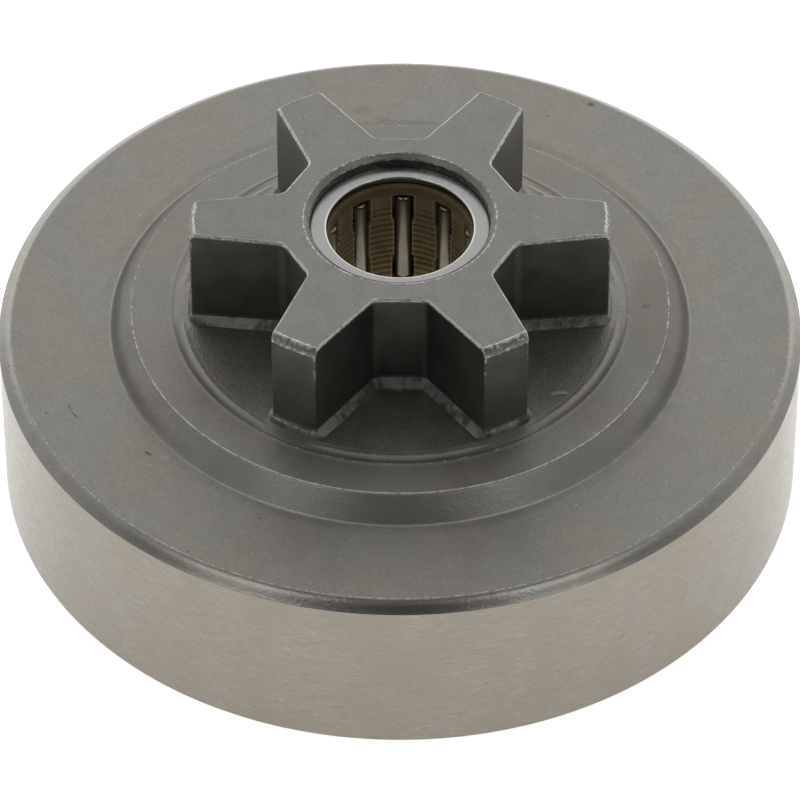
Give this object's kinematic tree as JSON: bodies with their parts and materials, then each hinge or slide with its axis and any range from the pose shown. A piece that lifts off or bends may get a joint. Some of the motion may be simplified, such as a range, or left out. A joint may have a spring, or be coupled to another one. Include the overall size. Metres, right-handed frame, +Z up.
{
  "type": "clutch drum with spur sprocket",
  "caption": "Round steel clutch drum with a star spur sprocket brazed to its raised centre and a caged needle bearing in the bore; drives a saw chain from a centrifugal clutch.",
  "frame": {"origin": "centre of the drum's open rim, on the surface that it stands on", "axes": "+Z up the shaft axis towards the sprocket, +X along one tooth"},
  "size_m": [0.072, 0.072, 0.029],
  "materials": {
    "drum_steel": "ground wall, matte dark web",
    "sprocket_steel": "matte dark hardened steel with worn edges",
    "bearing_steel": "smooth drawn steel",
    "cage_plastic": "brown glass-filled plastic, ribbed",
    "needle_steel": "ground and polished"
  },
  "bodies": {
    "drum": {"clutch_drum": "drum_steel", "spur_sprocket": "sprocket_steel", "bearing_cup": "bearing_steel"},
    "cage": {"bearing_cage": "cage_plastic"},
    "needle_01": {"needle_01": "needle_steel"},
    "needle_02": {"needle_02": "needle_steel"},
    "needle_03": {"needle_03": "needle_steel"},
    "needle_04": {"needle_04": "needle_steel"},
    "needle_05": {"needle_05": "needle_steel"},
    "needle_06": {"needle_06": "needle_steel"},
    "needle_07": {"needle_07": "needle_steel"},
    "needle_08": {"needle_08": "needle_steel"},
    "needle_09": {"needle_09": "needle_steel"},
    "needle_10": {"needle_10": "needle_steel"}
  },
  "joints": [
    {"name": "cage_spin", "type": "hinge", "parent": "drum", "child": "cage", "pos_m": [0, 0, 0.0209], "axis": [0, 0, 1], "continuous": true},
    {"name": "needle_01_spin", "type": "hinge", "parent": "cage", "child": "needle_01", "pos_m": [0.0003, 0.00675, 0.0209], "axis": [0, 0, 1], "continuous": true},
    {"name": "needle_02_spin", "type": "hinge", "parent": "cage", "child": "needle_02", "pos_m": [-0.00373, 0.00564, 0.0209], "axis": [0, 0, 1], "continuous": true},
    {"name": "needle_03_spin", "type": "hinge", "parent": "cage", "child": "needle_03", "pos_m": [-0.00633, 0.00237, 0.0209], "axis": [0, 0, 1], "continuous": true},
    {"name": "needle_04_spin", "type": "hinge", "parent": "cage", "child": "needle_04", "pos_m": [-0.00651, -0.00181, 0.0209], "axis": [0, 0, 1], "continuous": true},
    {"name": "needle_05_spin", "type": "hinge", "parent": "cage", "child": "needle_05", "pos_m": [-0.00421, -0.00529, 0.0209], "axis": [0, 0, 1], "continuous": true},
    {"name": "needle_06_spin", "type": "hinge", "parent": "cage", "child": "needle_06", "pos_m": [-0.0003, -0.00675, 0.0209], "axis": [0, 0, 1], "continuous": true},
    {"name": "needle_07_spin", "type": "hinge", "parent": "cage", "child": "needle_07", "pos_m": [0.00373, -0.00564, 0.0209], "axis": [0, 0, 1], "continuous": true},
    {"name": "needle_08_spin", "type": "hinge", "parent": "cage", "child": "needle_08", "pos_m": [0.00633, -0.00237, 0.0209], "axis": [0, 0, 1], "continuous": true},
    {"name": "needle_09_spin", "type": "hinge", "parent": "cage", "child": "needle_09", "pos_m": [0.00651, 0.00181, 0.0209], "axis": [0, 0, 1], "continuous": true},
    {"name": "needle_10_spin", "type": "hinge", "parent": "cage", "child": "needle_10", "pos_m": [0.00421, 0.00529, 0.0209], "axis": [0, 0, 1], "continuous": true}
  ],
  "couplings": [
    {"joint": "needle_01_spin", "follows": "cage_spin", "ratio": -10.067},
    {"joint": "needle_02_spin", "follows": "cage_spin", "ratio": -10.067},
    {"joint": "needle_03_spin", "follows": "cage_spin", "ratio": -10.067},
    {"joint": "needle_04_spin", "follows": "cage_spin", "ratio": -10.067},
    {"joint": "needle_05_spin", "follows": "cage_spin", "ratio": -10.067},
    {"joint": "needle_06_spin", "follows": "cage_spin", "ratio": -10.067},
    {"joint": "needle_07_spin", "follows": "cage_spin", "ratio": -10.067},
    {"joint": "needle_08_spin", "follows": "cage_spin", "ratio": -10.067},
    {"joint": "needle_09_spin", "follows": "cage_spin", "ratio": -10.067},
    {"joint": "needle_10_spin", "follows": "cage_spin", "ratio": -10.067}
  ]
}
